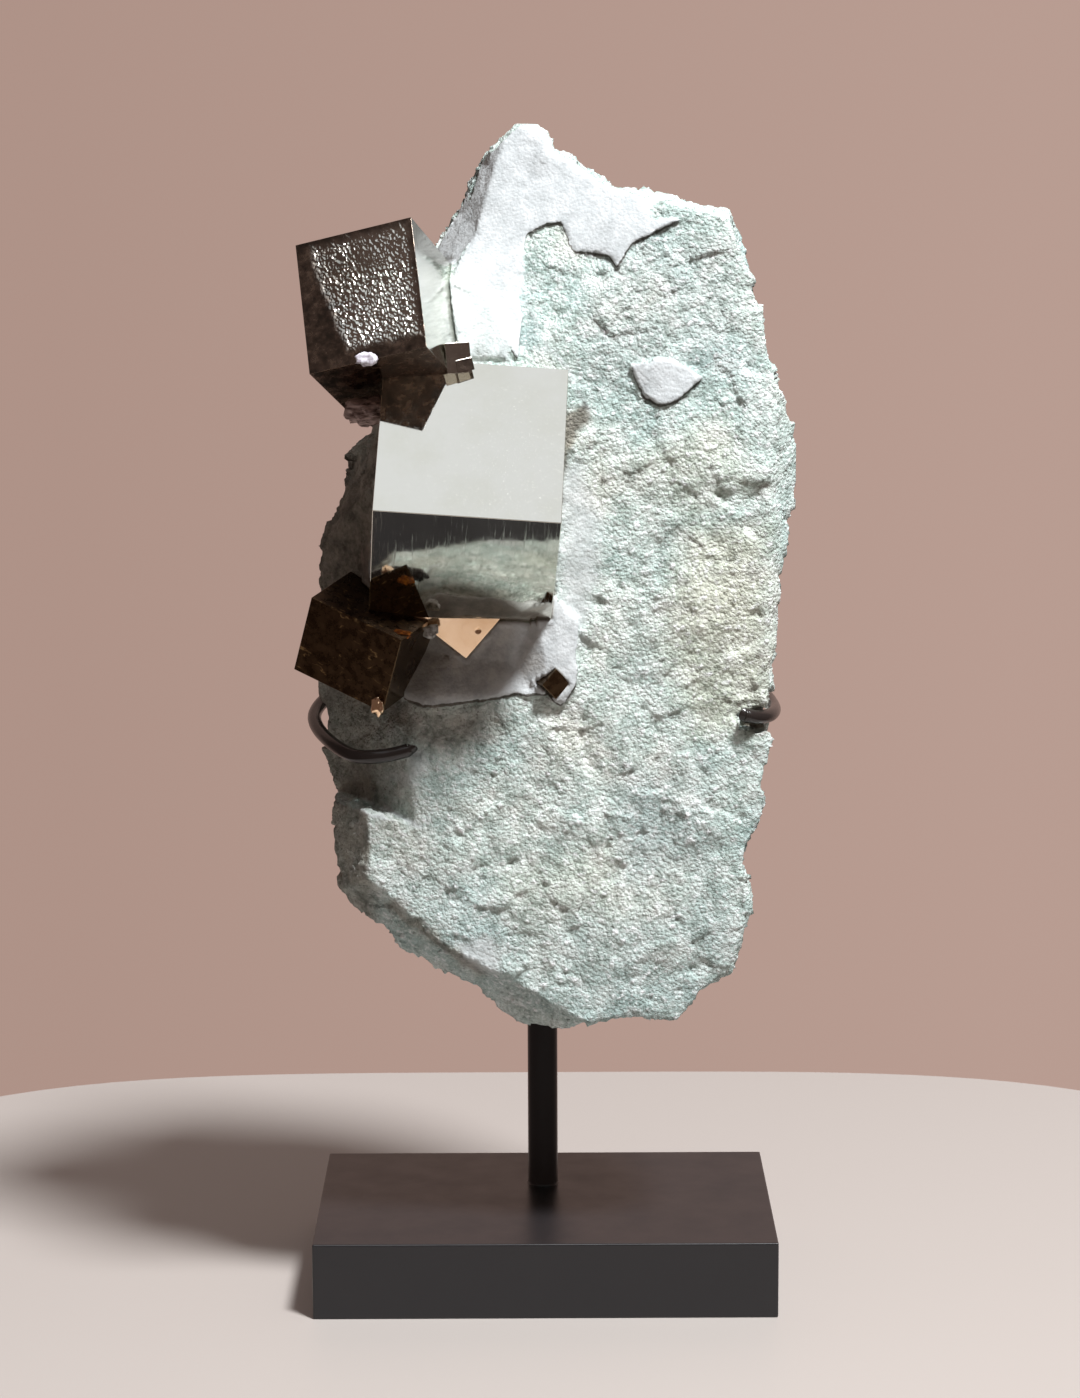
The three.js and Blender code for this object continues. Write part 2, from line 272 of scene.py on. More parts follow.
def rounded_box(name, size, radius, step, fine=(), relief=None, tarnish_and_painted_light=None):
    """A closed box in millimetres about its middle. fine is (axis, side, step) for one face.

    relief and tarnish are functions of axis, side, u and v, the place on a face.
    """
    half = np.array(size) / 2
    builder = bmesh.new()
    tarnish_mark = builder.verts.layers.float.new("tarnish_and_painted_light")
    place_mark = builder.verts.layers.float_vector.new("crystal_place")
    for axis in range(3):
        across, along = (axis + 1) % 3, (axis + 2) % 3
        for side in (-1, 1):
            face_step = fine[2] if fine and fine[:2] == (axis, side) else step
            u, v = np.meshgrid(axis_stops(half[across], radius, face_step),
                               axis_stops(half[along], radius, face_step), indexing="ij")
            spots = np.zeros(u.shape + (3,))
            spots[..., axis] = side * half[axis]
            spots[..., across], spots[..., along] = u, v
            held = np.clip(spots, -(half - radius), half - radius)
            away = spots - held
            spots = held + radius * away / np.linalg.norm(away, axis=-1, keepdims=True)
            dull = tarnish_and_painted_light(axis, side, u, v) if tarnish_and_painted_light else np.zeros(u.shape)
            if relief:
                spots[..., axis] += side * relief(axis, side, u, v)
            grid = []
            for spot_row, dull_row in zip(spots, dull):
                row = []
                for spot, amount in zip(spot_row, dull_row):
                    vertex = builder.verts.new(spot)
                    vertex[tarnish_mark] = amount
                    vertex[place_mark] = Vector(spot)
                    row.append(vertex)
                grid.append(row)
            for i in range(len(grid) - 1):
                for j in range(len(grid[0]) - 1):
                    corners = [grid[i][j], grid[i + 1][j], grid[i + 1][j + 1], grid[i][j + 1]]
                    builder.faces.new(corners if side > 0 else corners[::-1])
    bmesh.ops.remove_doubles(builder, verts=builder.verts, dist=1e-4)
    bmesh.ops.scale(builder, vec=(MM, MM, MM), verts=builder.verts)
    return mesh_from(builder, name)


# %% [markdown]
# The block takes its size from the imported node, so it can't drift from it.

# %% Block
BLOCK_ARRIS = 0.45

low, high = (Vector(corner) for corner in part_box("base"))
block_mesh = rounded_box("block", (high - low) / MM, BLOCK_ARRIS, 20)
block_mesh.transform(Matrix.Translation((low + high) / 2))
finish_piece("block", block_mesh, block_paint, ["base"])

# %% [markdown]
# The rod is drawn bar with its end faces turned flat. It is a lathe shape: a few radii and
# heights, spun round. A narrow bead of paint closes the joint where it meets the block.

# %% Lathe shapes
def spun(name, profile, centre, sides=64):
    """Spins (radius, height) pairs in millimetres about a vertical line. Both ends are capped."""
    builder = bmesh.new()
    rings = []
    for radius, height in profile:
        ring = []
        for k in range(sides):
            turn = 2 * math.pi * k / sides
            ring.append(builder.verts.new(
                centre + point(radius * math.cos(turn), radius * math.sin(turn), height)))
        rings.append(ring)
    for below, above in zip(rings, rings[1:]):
        for k in range(sides):
            n = (k + 1) % sides
            builder.faces.new([below[k], below[n], above[n], above[k]])
    builder.faces.new(rings[0][::-1])
    builder.faces.new(rings[-1])
    mesh = mesh_from(builder, name)
    mesh.set_sharp_from_angle(angle=math.radians(40))
    return mesh


# %% Rod
low, high = (Vector(corner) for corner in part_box("rod"))
rod_radius = (high.x - low.x) / 2 / MM
block_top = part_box("base")[1][2] / MM
rod_top = high.z / MM
ROD_END_ROUNDING = 0.6
FOOT_BEAD = 0.5

rod_profile = [
    (rod_radius + FOOT_BEAD, block_top),
    (rod_radius + 0.4 * FOOT_BEAD, block_top + 0.3 * FOOT_BEAD),
    (rod_radius, block_top + FOOT_BEAD),
    (rod_radius, rod_top - ROD_END_ROUNDING),
    (rod_radius - 0.3 * ROD_END_ROUNDING, rod_top - 0.3 * ROD_END_ROUNDING),
    (rod_radius - ROD_END_ROUNDING, rod_top),
]
rod_centre = Vector(((low.x + high.x) / 2, (low.y + high.y) / 2, 0))
finish_piece("steel_rod", spun("rod", rod_profile, rod_centre), block_paint, ["rod"])

# %% [markdown]
# A prong is wire, bent by hand round the rock and welded to the rod. A curve with a round bevel
# is the natural way to draw wire: its points are where the bender would put the pliers. The left
# tip is filed to a dome. The right one is sawn nearly flat.

# %% Prongs
WIRE_DIAMETER = 3.5
LEFT_PRONG_ROUTE = [
    (-4, 12, 165), (-16, 10.6, 164), (-32, 10.6, 161.5), (-46, 8.5, 158.8), (-55, 2, 156.4),
    (-58.9, -8, 153.6), (-58, -18, 151.3), (-53.5, -29, 149), (-48, -36.6, 147.4),
    (-43, -39.6, 147.5), (-38, -40.2, 148.2), (-32.5, -40.2, 149.6),
]
RIGHT_PRONG_ROUTE = [
    (3, 12, 160), (16, 10.6, 159), (32, 10.6, 158), (45, 9, 157.4), (54, 4.5, 157),
    (57.6, -4, 156.7), (58.8, -14, 156.3), (58.8, -24, 156.2), (57, -32.5, 156.4),
    (53.6, -38, 157), (50, -40.2, 157.9),
]
DOMED_TIP = [(0.0, 1.0), (0.35, 0.94), (0.65, 0.76), (0.85, 0.53), (0.97, 0.24), (1.0, 0.02)]
SAWN_TIP = [(0.0, 1.0), (0.8, 1.0), (0.93, 0.95), (1.0, 0.84), (1.02, 0.4), (1.02, 0.02)]


def smooth_route(route, steps):
    """Places along a Catmull-Rom curve through the route's points, in millimetres."""
    knots = [Vector(p) for p in route]
    knots = [2 * knots[0] - knots[1]] + knots + [2 * knots[-1] - knots[-2]]
    places = []
    for k in range(1, len(knots) - 2):
        p0, p1, p2, p3 = knots[k - 1:k + 3]
        for s in range(steps):
            t = s / steps
            places.append(0.5 * ((2 * p1) + (p2 - p0) * t + (2 * p0 - 5 * p1 + 4 * p2 - p3) * t * t
                                 + (3 * p1 - p0 - 3 * p2 + p3) * t ** 3))
    return places + [knots[-2]]


def bent_wire(name, route, diameter, tip_shape):
    """A round wire along a route. tip_shape is (reach, radius) in radii of the wire."""
    places = smooth_route(route, 8)
    ahead = (places[-1] - places[-2]).normalized()
    tip = places.pop()
    radii = [1.0] * len(places)
    for reach, radius in tip_shape:
        places.append(tip + ahead * diameter / 2 * (reach - 1))
        radii.append(radius)
    curve = bpy.data.curves.new(name, "CURVE")
    curve.dimensions = "3D"
    curve.bevel_depth = diameter / 2 * MM
    curve.bevel_resolution = 8
    curve.use_fill_caps = True
    spline = curve.splines.new("POLY")
    spline.points.add(len(places) - 1)
    for spline_point, place, radius in zip(spline.points, places, radii):
        spline_point.co = (*(place * MM), 1)
        spline_point.radius = radius
    holder = bpy.data.objects.new(name, curve)
    mesh = bpy.data.meshes.new_from_object(holder)
    bpy.data.objects.remove(holder)
    mesh.shade_smooth()
    mesh.set_sharp_from_angle(angle=math.radians(50))
    return mesh


for name, route, tip_shape in (("left_prong", LEFT_PRONG_ROUTE, DOMED_TIP),
                               ("right_prong", RIGHT_PRONG_ROUTE, SAWN_TIP)):
    wire = bent_wire(name, route, WIRE_DIAMETER, tip_shape)
    finish_piece("bent_" + name, wire, wire_paint, [name])

# %% [markdown]
# Behind the rock, a bead of weld joins each wire to the rod. A bead, like a crumb of mineral, is
# a ball that was squashed along the three axes and made uneven by noise.

# %% Lumps
def lump(name, centre, radii, unevenness, width, rings=3):
    """A closed uneven ball in millimetres."""
    builder = bmesh.new()
    bmesh.ops.create_icosphere(builder, subdivisions=rings, radius=1.0)
    tarnish_mark = builder.verts.layers.float.new("tarnish_and_painted_light")
    place_mark = builder.verts.layers.float_vector.new("crystal_place")
    for vertex in builder.verts:
        out = vertex.co.copy()
        reach = 1 + unevenness * noise.noise(out * max(radii) / width + Vector(centre))
        shape = Vector(out[k] * radii[k] * reach for k in range(3))
        vertex[tarnish_mark] = 0.0
        vertex[place_mark] = shape
        vertex.co = (Vector(centre) + shape) * MM
    return mesh_from(builder, name)


finish_piece("left_weld", lump("left_weld", (-5.0, 12, 165), (1.6, 2.5, 2.6), 0.25, 1.5),
             wire_paint)
finish_piece("right_weld", lump("right_weld", (4.0, 12, 160), (1.6, 2.5, 2.6), 0.25, 1.5),
             wire_paint)

# %% [markdown]
# Pyrite is iron sulphide. Its cubes grow with faces so flat that they mirror the room, and it
# reflects as a metal does, so it is metallic with a pale straw colour and almost no roughness.
# What tells it from plated metal is its growth and its age: faint parallel lines along one edge
# of each face, wisps where the face is a little duller, and a brown tarnish on some faces.

# %% Pyrite
def pyrite(name, colour, dull_colour, tarnish_colours, gloss, tarnish_gloss, stripes, stripe_depth,
           wisps, scratches=0.0):
    """gloss and tarnish_gloss are (least, most) roughness, stripes the stretch of the lines."""
    material, tree, surface = new_material(name)
    place = add_node(tree, "ShaderNodeAttribute", {"attribute_name": "crystal_place"}).outputs["Vector"]
    # This mark is mostly the crystals' own tarnish. On the large crystal's lower face it also carries
    # painted shade, and on the upper crystal's front a painted highlight.
    tarnish_and_painted_light = mark(tree, "tarnish_and_painted_light")
    mist = cloud(tree, place, 14, detail=5.0)
    mottle = cloud(tree, place, 2.6, detail=5.0, roughness=0.65)
    lines = cloud(tree, place, 1.0, roughness=0.65, stretch=stripes)
    bright = layer(tree, colour, dull_colour, spread(tree, mist, 0.4, 0.7))
    brown = ramp(tree, mottle, [(0.35, tarnish_colours[0]), (0.65, tarnish_colours[1])])
    tint = layer(tree, bright, brown, tarnish_and_painted_light)
    clear = spread(tree, mist, 0.4, 0.7, *gloss)
    wispy = maths(tree, "ADD", clear, spread(tree, lines, 0.55, 0.8, 0.0, wisps))
    worn = spread(tree, mottle, 0.35, 0.65, *tarnish_gloss)
    roughness = maths(tree, "ADD", maths(tree, "MULTIPLY", wispy, maths(tree, "SUBTRACT", 1.0, tarnish_and_painted_light)),
                      maths(tree, "MULTIPLY", worn, tarnish_and_painted_light))
    if scratches:
        wave = cloud(tree, place, 5.0, detail=3.0, stretch=(1.0, 0.35, 1.0))
        line = spread(tree, maths(tree, "ABSOLUTE", maths(tree, "SUBTRACT", wave, 0.5)), 0.012, 0.0)
        patchy = maths(tree, "MULTIPLY", line, spread(tree, mottle, 0.5, 0.6, 0.0, scratches))
        tint = layer(tree, tint, "#b09468", patchy)
    bump = add_node(tree, "ShaderNodeBump", Height=lines, Strength=stripe_depth, Distance=0.05 * MM)
    surface.inputs["Metallic"].default_value = 1.0
    plug(tree, tint, surface.inputs["Base Color"])
    plug(tree, roughness, surface.inputs["Roughness"])
    plug(tree, bump.outputs["Normal"], surface.inputs["Normal"])
    return material


bright_pyrite = pyrite("bright_pyrite", "#eae8df", "#e4e2d6", ("#6f6a58", "#8a8370"), (0.02, 0.03),
                       (0.05, 0.16), (2.4, 0.10, 2.4), 0.04, 0.22)
pitted_pyrite = pyrite("pitted_pyrite", "#dcdbd4", "#d2d2c8", ("#2f271f", "#7d6350"), (0.08, 0.14),
                       (0.18, 0.34), (3.0, 0.16, 0.9), 0.2, 0.1)
bronzed_pyrite = pyrite("bronzed_pyrite", "#8d785b", "#6d5a43", ("#3a2c20", "#4f3d2c"), (0.14, 0.3),
                        (0.2, 0.42), (0.5, 2.6, 0.9), 0.4, 0.1, scratches=0.9)
warm_pyrite = pyrite("warm_pyrite", "#f6d9ba", "#f0cba3", ("#a07850", "#c49a6c"), (0.1, 0.2),
                     (0.3, 0.5), (1.0, 1.0, 1.0), 0.05, 0.1)
print("made four kinds of pyrite")

# %% [markdown]
# A crystal is placed by its corner nearest the viewer and the directions of two of its edges.
# The third edge is square to both. The mesh is made about its own middle, and its vertices are
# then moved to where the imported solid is.

# %% Crystals
CRYSTAL_EDGE_RADIUS = 0.14


def crystal_placement(corner, first_edge, second_edge, size):
    first = Vector(first_edge).normalized()
    third = first.cross(Vector(second_edge)).normalized()
    axes = (first, third.cross(first), third)
    middle = Vector(corner) + sum((axis * edge / 2 for axis, edge in zip(axes, size)), Vector())
    placement = Matrix(axes).transposed().to_4x4()
    placement.translation = middle * MM
    return placement


def smooth_step(values, start, end):
    t = np.clip((values - start) / (end - start), 0, 1)
    return t * t * (3 - 2 * t)


def crystal(name, shape, material, node, step, fine=(), relief=None, tarnish_and_painted_light=None):
    """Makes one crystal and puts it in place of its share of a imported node."""
    mesh = rounded_box(name, shape["size"], CRYSTAL_EDGE_RADIUS, step, fine, relief, tarnish_and_painted_light)
    mesh.transform(crystal_placement(**shape))
    return finish_piece(name, mesh, material, [node])


CENTRAL = dict(corner=(-40.7, -71, 213.4), first_edge=(0.997, 0.015, -0.073),
               second_edge=(-0.06, 0.742, -0.668), size=(45.4, 44.8, 46.2))
UPPER = dict(corner=(-27.7, -58.7, 251.5), first_edge=(-0.951, 0.206, -0.232),
             second_edge=(-0.116, 0.459, 0.881), size=(30.2, 34.5, 34.4))
LOWER_LEFT = dict(corner=(-34.9, -50, 178.6), first_edge=(-0.243, 0.34, -0.909),
                  second_edge=(-0.862, 0.354, 0.363), size=(21.2, 26.2, 20))
UNDER = dict(corner=(-19.3, -36.2, 171.8), first_edge=(-0.77, -0.06, 0.63),
             second_edge=(0.71, -0.16, 0.69), size=(17, 18, 12))
TWIN = dict(corner=(-23.7, -44.5, 251.3), first_edge=(0.93, 0.34, 0.03),
            second_edge=(0.18, -0.1, -0.97), size=(6.4, 7.5, 7))
TWIN_STEP = dict(corner=(-21.2, -44.5, 247), first_edge=(0.93, 0.34, 0.2),
                 second_edge=(0.18, -0.1, -0.97), size=(4.4, 3.2, 3))
SMALL = dict(corner=(-0.2, -42.4, 166), first_edge=(0.66, 0.26, 0.7),
             second_edge=(0.62, 0.3, -0.72), size=(5.4, 5.4, 5.4))


def central_lower_face_shade(axis, side, u, v):
    """Only the lower face, the low side of the third axis, is a little duller: painted shade that darkens
    what that face mirrors.
    """
    return np.full(u.shape, 0.2 if (axis, side) == (2, -1) else 0.0)


crystal("central_crystal", CENTRAL, bright_pyrite, "pyrite_cluster", 4, tarnish_and_painted_light=central_lower_face_shade)

# %% [markdown]
# The upper crystal's front face is eaten by pits. They are real relief, because they glitter
# only where a wall happens to face the light: bowls two thirds of a millimetre wide, each with a
# tilt of its own, from the cells of a Voronoi pattern that is bent by noise and drawn out along
# the face's upright edge, with finer ones inside them. A border on the left and a strip along the
# bottom stayed smooth and are tarnished.

# %% Upper crystal
PIT_WIDTH = 0.68
PIT_HEIGHT = 1.15
PIT_DEPTH = 0.14
PIT_BEND = 0.5
PIT_NET_WIDTH = 0.17
FINE_PIT_WIDTH = 0.5
FINE_PIT_HEIGHT = 0.75
FINE_PIT_DEPTH = 0.08
STEP_TILT = 0.6
STEP_TO_RIGHT = 0.3
STEP_TO_TOP = 0.2
FACE_SINK = 0.3


def front_shares(u, v):
    """How far a place on the upper crystal's front is to the right and up, from 0 to 1."""
    return 0.5 - u / UPPER["size"][0], 0.5 + v / UPPER["size"][1]


def inside_border(u, v):
    """1 in the pitted part of that face and 0 in its smooth border, with an uneven edge."""
    right, up = front_shares(u, v)
    ragged = np.array([[0.02 * noise.noise(Vector((a / 2, b / 2, 5))) for a, b in zip(ur, vr)]
                       for ur, vr in zip(u, v)])
    left_border = np.where(up > 0.8, 0.12, 0.37 - 0.31 * up)
    room = np.minimum(np.minimum(right - left_border, up - 0.10), np.minimum(1 - up, 1 - right) - 0.015)
    return smooth_step(room + ragged, -0.02, 0.07)


def bright_share(right, up):
    """The steps face the light best low down and at the right."""
    return smooth_step(np.maximum(right - 0.6 * up, 0.8 * right - 0.35), -0.2, 0.4)


def pitted_front(axis, side, u, v):
    if (axis, side) != (2, -1):
        return np.zeros(u.shape)
    right, up = front_shares(u, v)
    sink = np.zeros(u.shape)
    for i in range(u.shape[0]):
        for j in range(u.shape[1]):
            a, b = u[i, j], v[i, j]
            bend = noise.noise_vector(Vector((a / 1.6, b / 1.6, 7.3)))
            a, b = a + PIT_BEND * bend.x, b + PIT_BEND * bend.y
            spot = Vector((a / PIT_WIDTH, b / PIT_HEIGHT, 4.2))
            reach, cells = noise.voronoi(spot)
            tilt = noise.noise_vector(cells[0] * 5.1)
            across = (a / PIT_WIDTH - cells[0].x) * PIT_WIDTH
            along = (b / PIT_HEIGHT - cells[0].y) * PIT_HEIGHT
            lean = 0.5 + 0.7 * bright_share(right[i, j], up[i, j])
            step = (across * (STEP_TILT * tilt.x - STEP_TO_RIGHT * lean)
                    + along * (STEP_TILT * tilt.y + STEP_TO_TOP * lean))
            fine_reach = noise.voronoi(Vector((a / FINE_PIT_WIDTH, b / FINE_PIT_HEIGHT, 1.7)))[0]
            sink[i, j] = (FACE_SINK + 0.8 * step + PIT_DEPTH * (1 - min(1.0, reach[0] / 0.62) ** 2)
                          + FINE_PIT_DEPTH * (1 - min(1.0, fine_reach[0] / 0.6) ** 2)
                          + 0.1 * noise.noise(Vector((a / 3.5, b / 6.0, 9.4))))
    calm = 1 - 0.5 * smooth_step(np.minimum(right - 0.45, up - 0.62), 0, 0.12)
    return -np.maximum(sink, 0) * calm * inside_border(u, v)


def upper_tarnish_and_highlight(axis, side, u, v):
    if (axis, side) == (2, -1):
        right, up = front_shares(u, v)
        # The pitted part is less tarnished where its steps face the light, so it mirrors more there: a
        # painted highlight over the face's own patchy tarnish.
        dull = 0.5 - 0.38 * bright_share(right, up)
        return 0.85 + (dull - 0.85) * inside_border(u, v)
    if (axis, side) == (1, -1):
        return smooth_step(v, -8, 4) * 0.12 + 0.85
    return np.full(u.shape, 0.5 if (axis, side) == (0, 1) else 0.06)


crystal("upper_crystal", UPPER, pitted_pyrite, "pyrite_cluster", 3, (2, -1, PIT_NET_WIDTH),
        pitted_front, upper_tarnish_and_highlight)

# %% [markdown]
# The smaller crystals differ in tarnish. The one under the large cube is pink-gold with one tiny
# pit. The lower left one is dark bronze all over, and its faces carry fine wavy scratches.

# %% Smaller crystals
TINY_PIT = (-6.2, -1.2)
TINY_PIT_RADIUS = 0.65
TINY_PIT_DEPTH = 0.5


def one_pit(axis, side, u, v):
    if (axis, side) != (2, -1):
        return np.zeros(u.shape)
    away = np.hypot(u - TINY_PIT[0], v - TINY_PIT[1]) / TINY_PIT_RADIUS
    return -TINY_PIT_DEPTH * (1 - smooth_step(away, 0.3, 1.0))


def even_tarnish(amount):
    return lambda axis, side, u, v: np.full(u.shape, amount)


def bronze_tarnish(axis, side, u, v):
    return np.full(u.shape, 0.45 if (axis, side) == (1, -1) else 0.95)


crystal("under_crystal", UNDER, warm_pyrite, "pyrite_cluster", 2, (2, -1, 0.3), one_pit)
crystal("junction_twin", TWIN, pitted_pyrite, "pyrite_cluster", 1, tarnish_and_painted_light=even_tarnish(0.3))
crystal("junction_twin_step", TWIN_STEP, pitted_pyrite, "pyrite_cluster", 1, tarnish_and_painted_light=even_tarnish(0.7))
crystal("lower_left_crystal", LOWER_LEFT, bronzed_pyrite, "pyrite_lower_left", 2, tarnish_and_painted_light=bronze_tarnish)
crystal("small_crystal", SMALL, bronzed_pyrite, "pyrite_small", 1, tarnish_and_painted_light=even_tarnish(0.6))

# %% [markdown]
# A few crumbs of other minerals stick to the crystals: pale striped marl, limonite, which is
# rust-orange, and clear grey calcite.

# %% Crumbs
def mineral(name, colours, width, roughness, stretch=(1, 1, 1)):
    material, tree, surface = new_material(name)
    spots = cloud(tree, place_in_mm(tree), width, stretch=stretch)
    plug(tree, ramp(tree, spots, [(0.35, colours[0]), (0.62, colours[1])]), surface.inputs["Base Color"])
    surface.inputs["Roughness"].default_value = roughness
    return material


striped_marl = mineral("striped_marl", ("#5e4a45", "#c9b4ae"), 1.2, 0.8, (0.4, 1.0, 2.2))
white_calcite = mineral("white_calcite", ("#a49ba6", "#e2e2ea"), 0.9, 0.5)
grey_calcite = mineral("grey_calcite", ("#6d6b66", "#b9b9b4"), 0.9, 0.35)
limonite = mineral("limonite", ("#6a3510", "#e08a2c"), 0.8, 0.7)
for name, centre, radii, unevenness, material, slot in (
    ("marl_crumb", (-42.9, -41, 234.4), (5.4, 4.0, 3.4), 0.6, striped_marl, "marl"),
    ("white_crumb", (-42.4, -56, 248.4), (2.4, 1.2, 1.7), 0.6, white_calcite, "marl"),
    ("grey_crumb", (-27.9, -40, 179.4), (1.9, 1.4, 1.8), 0.6, grey_calcite, "marl"),
    ("orange_crumb", (-35.6, -46, 179.6), (2.7, 1.4, 1.1), 0.5, limonite, "marl"),
    ("gold_crumb", (-41.3, -43.6, 161.2), (1.4, 1.2, 2.4), 0.6, warm_pyrite, "pyrite"),
):
    finish_piece(name, lump(name, centre, radii, unevenness, 1.4), material)

# %% [markdown]
# Marl is a soft rock of clay and lime. It broke along rough faces, and its skin is a sugar of
# grains one to two millimetres across with a few larger lumps and pits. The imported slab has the
# main form. It is copied, its faces are remade as an even net of small ones, and each vertex is
# moved along its normal by sums of noise whose widths are the sizes of those lumps and grains.
# Two places are smoothed as well, where packed faces meet more sharply than the rock's do.

# %% Rock form
NET_WIDTH = 0.55
MOST_TRIANGLES = 195000
RECESS_BY_LEFT_PRONG = ((-42, -42, 134.5), (-22, -26, 163))
SEAM_IN_WHITE_FACET = ((-17.5, -80, 247.5), (-6.8, -25, 263.5))

slab = nodes["matrix"]
rock_object = bpy.data.objects.new("rock_work", slab.data.copy())
bpy.context.collection.objects.link(rock_object)
remesh = rock_object.modifiers.new("even_net", "REMESH")
remesh.mode = "VOXEL"
remesh.voxel_size = NET_WIDTH * MM
depsgraph = bpy.context.evaluated_depsgraph_get()
rock_mesh = bpy.data.meshes.new_from_object(rock_object.evaluated_get(depsgraph))
print("even net:", len(rock_mesh.polygons), "faces")


def vertex_array(mesh, name, attribute):
    values = np.empty(len(mesh.vertices) * 3)
    getattr(mesh, name).foreach_get(attribute, values)
    return values.reshape(-1, 3)


def soften(mesh, low, high, times):
    """Smooths the net between two corners, given in millimetres."""
    builder = bmesh.new()
    builder.from_mesh(mesh)
    chosen = [v for v in builder.verts if all(a * MM < c < b * MM for a, c, b in zip(low, v.co, high))]
    for _ in range(times):
        bmesh.ops.smooth_vert(builder, verts=chosen, factor=0.5,
                              use_axis_x=True, use_axis_y=True, use_axis_z=True)
    builder.to_mesh(mesh)
    builder.free()


soften(rock_mesh, *RECESS_BY_LEFT_PRONG, 60)
spots = vertex_array(rock_mesh, "vertices", "co") / MM
normals = vertex_array(rock_mesh, "vertex_normals", "vector")

# %% [markdown]
# The rock isn't the same everywhere. Outlines drawn on its front, in x and z, say where it is a
# smooth white layer, and where it is white, brown, blue-grey, yellowish or speckled. Not all of it
# is the rock's own colour. Two brown outlines are painted shade and cast shadow, and two more are
# partly so, as is the brown on the left-facing sides. One white outline and the ledge's line are
# partly painted light, and the other pale line is painted light. An outline gives each vertex its
# distance to the edge, and the distance is turned to a soft or a crisp step. The edges are made
# uneven by moving each place a little before it is looked up. The zones keep to the front, apart
# from the speckled one, which runs round the rock's edge.

# %% Zones of the rock
LAYER_THICKNESS = 1.3
LAYER_OUTLINES = [
    [(-30, 268), (-15, 262), (-6, 247), (-4.5, 257), (-6, 264), (-4.6, 272), (-3.5, 277), (1, 279.5),
     (5, 280), (8.5, 273), (16.6, 272), (18.6, 269.5), (22.5, 275), (34.5, 280.6), (27, 281),
     (24, 290), (-5, 312)],
    [(-46, 163), (-30, 160.3), (-22, 161), (-16, 161.5), (-6, 163.5), (1, 163.5), (4.5, 160.5),
     (8, 166), (9, 182), (-10, 200), (-46, 200)],
    [(22.3, 244.7), (30, 246.7), (36.3, 244.2), (39.9, 242), (33.6, 236.6), (28.9, 235.4), (24.9, 237.8)],
]
# The first line is a pale line of painted light: the edge of the light that the large crystal's right face
# mirrors onto the rock.
REFLECTED_LIGHT_EDGE = [(-6.5, 266.8), (-4.9, 262.7), (-2.7, 258), (-0.2, 253.3), (2.3, 248.9), (6.4, 244.5),
          (8.3, 240.1), (10.5, 235.4), (11.8, 232.3)]
# The ledge's line is painted paler: partly a paler rim, partly painted highlight on the edge that faces
# the light.
LEDGE_LINE = [(-45.7, 132.8), (-41.3, 131.9), (-36.3, 131.2), (-31.3, 129.4)]
